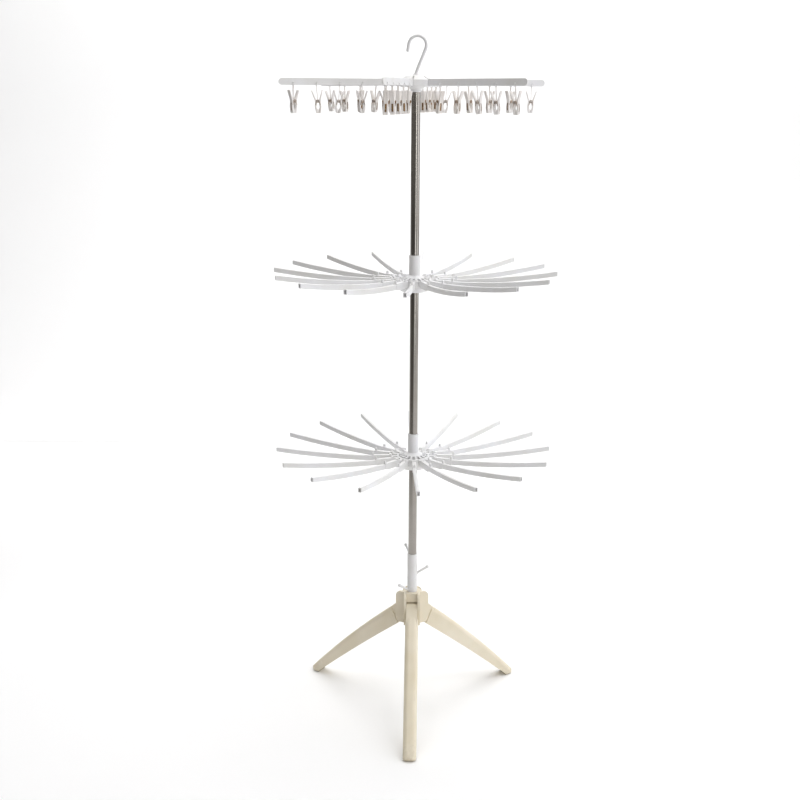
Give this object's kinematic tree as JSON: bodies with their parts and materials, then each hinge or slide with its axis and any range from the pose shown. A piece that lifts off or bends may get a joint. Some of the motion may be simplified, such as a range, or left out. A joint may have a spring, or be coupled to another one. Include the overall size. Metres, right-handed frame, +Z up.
{
  "type": "rotary clothesline",
  "caption": "Free-standing drying tower: tripod base, steel pole, two turning tiers of fold-up arms, and a lift-off hanger with bars of hanging clips",
  "frame": {"origin": "on the floor, on the pole's axis", "axes": "+Z up along the pole; -Y towards the front leg"},
  "size_m": [0.704, 0.704, 1.7327],
  "materials": {
    "ivory_plastic": "satin moulded ivory",
    "white_plastic": "satin moulded white",
    "hook_plastic": "satin moulded white",
    "clip_plastic": "translucent white, slightly warm",
    "steel_tube": "polished stainless tube",
    "steel_wire": "bright wire"
  },
  "bodies": {
    "base": {"base_hub": "ivory_plastic", "base_tube": "white_plastic", "lower_pole": "steel_tube", "middle_pole": "steel_tube", "top_pole": "steel_tube", "pole_couplings": "white_plastic"},
    "leg_front": {"leg_front": "ivory_plastic"},
    "leg_right": {"leg_right": "ivory_plastic"},
    "leg_left": {"leg_left": "ivory_plastic"},
    "lower_tier": {"lower_hub": "white_plastic", "lower_arm_ring": "steel_wire"},
    "lower_arm_01": {"lower_arm_01": "white_plastic"},
    "lower_arm_02": {"lower_arm_02": "white_plastic"},
    "lower_arm_03": {"lower_arm_03": "white_plastic"},
    "lower_arm_04": {"lower_arm_04": "white_plastic"},
    "lower_arm_05": {"lower_arm_05": "white_plastic"},
    "lower_arm_06": {"lower_arm_06": "white_plastic"},
    "lower_arm_07": {"lower_arm_07": "white_plastic"},
    "lower_arm_08": {"lower_arm_08": "white_plastic"},
    "lower_arm_09": {"lower_arm_09": "white_plastic"},
    "lower_arm_10": {"lower_arm_10": "white_plastic"},
    "lower_arm_11": {"lower_arm_11": "white_plastic"},
    "lower_arm_12": {"lower_arm_12": "white_plastic"},
    "lower_arm_13": {"lower_arm_13": "white_plastic"},
    "lower_arm_14": {"lower_arm_14": "white_plastic"},
    "lower_arm_15": {"lower_arm_15": "white_plastic"},
    "lower_arm_16": {"lower_arm_16": "white_plastic"},
    "upper_tier": {"upper_hub": "white_plastic", "upper_arm_ring": "steel_wire"},
    "upper_arm_01": {"upper_arm_01": "white_plastic"},
    "upper_arm_02": {"upper_arm_02": "white_plastic"},
    "upper_arm_03": {"upper_arm_03": "white_plastic"},
    "upper_arm_04": {"upper_arm_04": "white_plastic"},
    "upper_arm_05": {"upper_arm_05": "white_plastic"},
    "upper_arm_06": {"upper_arm_06": "white_plastic"},
    "upper_arm_07": {"upper_arm_07": "white_plastic"},
    "upper_arm_08": {"upper_arm_08": "white_plastic"},
    "upper_arm_09": {"upper_arm_09": "white_plastic"},
    "upper_arm_10": {"upper_arm_10": "white_plastic"},
    "upper_arm_11": {"upper_arm_11": "white_plastic"},
    "upper_arm_12": {"upper_arm_12": "white_plastic"},
    "upper_arm_13": {"upper_arm_13": "white_plastic"},
    "upper_arm_14": {"upper_arm_14": "white_plastic"},
    "upper_arm_15": {"upper_arm_15": "white_plastic"},
    "upper_arm_16": {"upper_arm_16": "white_plastic"},
    "spindle": {"hanger_spindle": "white_plastic"},
    "hanger": {"hanger_hub": "white_plastic"},
    "hook": {"hook": "hook_plastic"},
    "hanger_bar_1": {"hanger_bar_1": "white_plastic"},
    "clips_1": {"clips_1": "clip_plastic"},
    "hanger_bar_2": {"hanger_bar_2": "white_plastic"},
    "clips_2": {"clips_2": "clip_plastic"},
    "hanger_bar_3": {"hanger_bar_3": "white_plastic"},
    "clips_3": {"clips_3": "clip_plastic"},
    "hanger_bar_4": {"hanger_bar_4": "white_plastic"},
    "clips_4": {"clips_4": "clip_plastic"},
    "hanger_bar_5": {"hanger_bar_5": "white_plastic"},
    "clips_5": {"clips_5": "clip_plastic"},
    "hanger_bar_6": {"hanger_bar_6": "white_plastic"},
    "clips_6": {"clips_6": "clip_plastic"}
  },
  "joints": [
    {"name": "leg_front_fold", "type": "hinge", "parent": "base", "child": "leg_front", "pos_m": [-0.00064, -0.02799, 0.24], "axis": [0.9997, -0.0227, 0], "range_deg": [0, 48]},
    {"name": "leg_right_fold", "type": "hinge", "parent": "base", "child": "leg_right", "pos_m": [0.02456, 0.01345, 0.24], "axis": [-0.4802, 0.8771, 0], "range_deg": [0, 48]},
    {"name": "leg_left_fold", "type": "hinge", "parent": "base", "child": "leg_left", "pos_m": [-0.02392, 0.01455, 0.24], "axis": [-0.5195, -0.8545, 0], "range_deg": [0, 48]},
    {"name": "lower_tier_turn", "type": "hinge", "parent": "base", "child": "lower_tier", "pos_m": [0, 0, 0.686], "axis": [0, 0, 1], "continuous": true},
    {"name": "lower_arm_01_fold", "type": "hinge", "parent": "lower_tier", "child": "lower_arm_01", "pos_m": [0.00088, -0.03599, 0.686], "axis": [-0.9997, -0.0244, 0], "range_deg": [0, 80]},
    {"name": "lower_arm_02_fold", "type": "hinge", "parent": "lower_tier", "child": "lower_arm_02", "pos_m": [0.01459, -0.03291, 0.686], "axis": [-0.9143, -0.4051, 0], "range_deg": [0, 80]},
    {"name": "lower_arm_03_fold", "type": "hinge", "parent": "lower_tier", "child": "lower_arm_03", "pos_m": [0.02607, -0.02483, 0.686], "axis": [-0.6896, -0.7242, 0], "range_deg": [0, 80]},
    {"name": "lower_arm_04_fold", "type": "hinge", "parent": "lower_tier", "child": "lower_arm_04", "pos_m": [0.03359, -0.01296, 0.686], "axis": [-0.36, -0.933, 0], "range_deg": [0, 80]},
    {"name": "lower_arm_05_fold", "type": "hinge", "parent": "lower_tier", "child": "lower_arm_05", "pos_m": [0.03599, 0.00088, 0.686], "axis": [0.0244, -0.9997, 0], "range_deg": [0, 80]},
    {"name": "lower_arm_06_fold", "type": "hinge", "parent": "lower_tier", "child": "lower_arm_06", "pos_m": [0.03291, 0.01459, 0.686], "axis": [0.4051, -0.9143, 0], "range_deg": [0, 80]},
    {"name": "lower_arm_07_fold", "type": "hinge", "parent": "lower_tier", "child": "lower_arm_07", "pos_m": [0.02483, 0.02607, 0.686], "axis": [0.7242, -0.6896, 0], "range_deg": [0, 80]},
    {"name": "lower_arm_08_fold", "type": "hinge", "parent": "lower_tier", "child": "lower_arm_08", "pos_m": [0.01296, 0.03359, 0.686], "axis": [0.933, -0.36, 0], "range_deg": [0, 80]},
    {"name": "lower_arm_09_fold", "type": "hinge", "parent": "lower_tier", "child": "lower_arm_09", "pos_m": [-0.00088, 0.03599, 0.686], "axis": [0.9997, 0.0244, 0], "range_deg": [0, 80]},
    {"name": "lower_arm_10_fold", "type": "hinge", "parent": "lower_tier", "child": "lower_arm_10", "pos_m": [-0.01459, 0.03291, 0.686], "axis": [0.9143, 0.4051, 0], "range_deg": [0, 80]},
    {"name": "lower_arm_11_fold", "type": "hinge", "parent": "lower_tier", "child": "lower_arm_11", "pos_m": [-0.02607, 0.02483, 0.686], "axis": [0.6896, 0.7242, 0], "range_deg": [0, 80]},
    {"name": "lower_arm_12_fold", "type": "hinge", "parent": "lower_tier", "child": "lower_arm_12", "pos_m": [-0.03359, 0.01296, 0.686], "axis": [0.36, 0.933, 0], "range_deg": [0, 80]},
    {"name": "lower_arm_13_fold", "type": "hinge", "parent": "lower_tier", "child": "lower_arm_13", "pos_m": [-0.03599, -0.00088, 0.686], "axis": [-0.0244, 0.9997, 0], "range_deg": [0, 80]},
    {"name": "lower_arm_14_fold", "type": "hinge", "parent": "lower_tier", "child": "lower_arm_14", "pos_m": [-0.03291, -0.01459, 0.686], "axis": [-0.4051, 0.9143, 0], "range_deg": [0, 80]},
    {"name": "lower_arm_15_fold", "type": "hinge", "parent": "lower_tier", "child": "lower_arm_15", "pos_m": [-0.02483, -0.02607, 0.686], "axis": [-0.7242, 0.6896, 0], "range_deg": [0, 80]},
    {"name": "lower_arm_16_fold", "type": "hinge", "parent": "lower_tier", "child": "lower_arm_16", "pos_m": [-0.01296, -0.03359, 0.686], "axis": [-0.933, 0.36, 0], "range_deg": [0, 80]},
    {"name": "upper_tier_turn", "type": "hinge", "parent": "base", "child": "upper_tier", "pos_m": [0, 0, 1.145], "axis": [0, 0, 1], "continuous": true},
    {"name": "upper_arm_01_fold", "type": "hinge", "parent": "upper_tier", "child": "upper_arm_01", "pos_m": [-0.00257, -0.03591, 1.145], "axis": [-0.9974, 0.0715, 0], "range_deg": [0, 80]},
    {"name": "upper_arm_02_fold", "type": "hinge", "parent": "upper_tier", "child": "upper_arm_02", "pos_m": [0.01136, -0.03416, 1.145], "axis": [-0.9489, -0.3156, 0], "range_deg": [0, 80]},
    {"name": "upper_arm_03_fold", "type": "hinge", "parent": "upper_tier", "child": "upper_arm_03", "pos_m": [0.02357, -0.02721, 1.145], "axis": [-0.7559, -0.6547, 0], "range_deg": [0, 80]},
    {"name": "upper_arm_04_fold", "type": "hinge", "parent": "upper_tier", "child": "upper_arm_04", "pos_m": [0.03219, -0.01612, 1.145], "axis": [-0.4478, -0.8942, 0], "range_deg": [0, 80]},
    {"name": "upper_arm_05_fold", "type": "hinge", "parent": "upper_tier", "child": "upper_arm_05", "pos_m": [0.03591, -0.00257, 1.145], "axis": [-0.0715, -0.9974, 0], "range_deg": [0, 80]},
    {"name": "upper_arm_06_fold", "type": "hinge", "parent": "upper_tier", "child": "upper_arm_06", "pos_m": [0.03416, 0.01136, 1.145], "axis": [0.3156, -0.9489, 0], "range_deg": [0, 80]},
    {"name": "upper_arm_07_fold", "type": "hinge", "parent": "upper_tier", "child": "upper_arm_07", "pos_m": [0.02721, 0.02357, 1.145], "axis": [0.6547, -0.7559, 0], "range_deg": [0, 80]},
    {"name": "upper_arm_08_fold", "type": "hinge", "parent": "upper_tier", "child": "upper_arm_08", "pos_m": [0.01612, 0.03219, 1.145], "axis": [0.8942, -0.4478, 0], "range_deg": [0, 80]},
    {"name": "upper_arm_09_fold", "type": "hinge", "parent": "upper_tier", "child": "upper_arm_09", "pos_m": [0.00257, 0.03591, 1.145], "axis": [0.9974, -0.0715, 0], "range_deg": [0, 80]},
    {"name": "upper_arm_10_fold", "type": "hinge", "parent": "upper_tier", "child": "upper_arm_10", "pos_m": [-0.01136, 0.03416, 1.145], "axis": [0.9489, 0.3156, 0], "range_deg": [0, 80]},
    {"name": "upper_arm_11_fold", "type": "hinge", "parent": "upper_tier", "child": "upper_arm_11", "pos_m": [-0.02357, 0.02721, 1.145], "axis": [0.7559, 0.6547, 0], "range_deg": [0, 80]},
    {"name": "upper_arm_12_fold", "type": "hinge", "parent": "upper_tier", "child": "upper_arm_12", "pos_m": [-0.03219, 0.01612, 1.145], "axis": [0.4478, 0.8942, 0], "range_deg": [0, 80]},
    {"name": "upper_arm_13_fold", "type": "hinge", "parent": "upper_tier", "child": "upper_arm_13", "pos_m": [-0.03591, 0.00257, 1.145], "axis": [0.0715, 0.9974, 0], "range_deg": [0, 80]},
    {"name": "upper_arm_14_fold", "type": "hinge", "parent": "upper_tier", "child": "upper_arm_14", "pos_m": [-0.03416, -0.01136, 1.145], "axis": [-0.3156, 0.9489, 0], "range_deg": [0, 80]},
    {"name": "upper_arm_15_fold", "type": "hinge", "parent": "upper_tier", "child": "upper_arm_15", "pos_m": [-0.02721, -0.02357, 1.145], "axis": [-0.6547, 0.7559, 0], "range_deg": [0, 80]},
    {"name": "upper_arm_16_fold", "type": "hinge", "parent": "upper_tier", "child": "upper_arm_16", "pos_m": [-0.01612, -0.03219, 1.145], "axis": [-0.8942, 0.4478, 0], "range_deg": [0, 80]},
    {"name": "hanger_turn", "type": "hinge", "parent": "base", "child": "spindle", "pos_m": [0, 0, 1.604], "axis": [0, 0, 1], "continuous": true},
    {"name": "hanger_lift", "type": "slide", "parent": "spindle", "child": "hanger", "axis": [0, 0, 1], "range_m": [0, 0.03]},
    {"name": "hook_turn", "type": "hinge", "parent": "hanger", "child": "hook", "pos_m": [0, 0, 1.64], "axis": [0, 0, 1], "continuous": true},
    {"name": "hanger_bar_1_fold", "type": "hinge", "parent": "hanger", "child": "hanger_bar_1", "pos_m": [-0.00697, -0.0302, 1.623], "axis": [-0.9744, 0.225, 0], "range_deg": [0, 70]},
    {"name": "clips_1_swing", "type": "hinge", "parent": "hanger_bar_1", "child": "clips_1", "pos_m": [-0.04499, -0.19487, 1.6169], "axis": [-0.225, -0.9744, 0], "range_deg": [-30, 30]},
    {"name": "hanger_bar_2_fold", "type": "hinge", "parent": "hanger", "child": "hanger_bar_2", "pos_m": [0.02267, -0.02114, 1.623], "axis": [-0.682, -0.7314, 0], "range_deg": [0, 70]},
    {"name": "clips_2_swing", "type": "hinge", "parent": "hanger_bar_2", "child": "clips_2", "pos_m": [0.14627, -0.1364, 1.6169], "axis": [0.7314, -0.682, 0], "range_deg": [-30, 30]},
    {"name": "hanger_bar_3_fold", "type": "hinge", "parent": "hanger", "child": "hanger_bar_3", "pos_m": [0.02965, 0.00906, 1.623], "axis": [0.2924, -0.9563, 0], "range_deg": [0, 70]},
    {"name": "clips_3_swing", "type": "hinge", "parent": "hanger_bar_3", "child": "clips_3", "pos_m": [0.19126, 0.05847, 1.6169], "axis": [0.9563, 0.2924, 0], "range_deg": [-30, 30]},
    {"name": "hanger_bar_4_fold", "type": "hinge", "parent": "hanger", "child": "hanger_bar_4", "pos_m": [0.00697, 0.0302, 1.623], "axis": [0.9744, -0.225, 0], "range_deg": [0, 70]},
    {"name": "clips_4_swing", "type": "hinge", "parent": "hanger_bar_4", "child": "clips_4", "pos_m": [0.04499, 0.19487, 1.6169], "axis": [0.225, 0.9744, 0], "range_deg": [-30, 30]},
    {"name": "hanger_bar_5_fold", "type": "hinge", "parent": "hanger", "child": "hanger_bar_5", "pos_m": [-0.02267, 0.02114, 1.623], "axis": [0.682, 0.7314, 0], "range_deg": [0, 70]},
    {"name": "clips_5_swing", "type": "hinge", "parent": "hanger_bar_5", "child": "clips_5", "pos_m": [-0.14627, 0.1364, 1.6169], "axis": [-0.7314, 0.682, 0], "range_deg": [-30, 30]},
    {"name": "hanger_bar_6_fold", "type": "hinge", "parent": "hanger", "child": "hanger_bar_6", "pos_m": [-0.02965, -0.00906, 1.623], "axis": [-0.2924, 0.9563, 0], "range_deg": [0, 70]},
    {"name": "clips_6_swing", "type": "hinge", "parent": "hanger_bar_6", "child": "clips_6", "pos_m": [-0.19126, -0.05847, 1.6169], "axis": [-0.9563, -0.2924, 0], "range_deg": [-30, 30]}
  ]
}
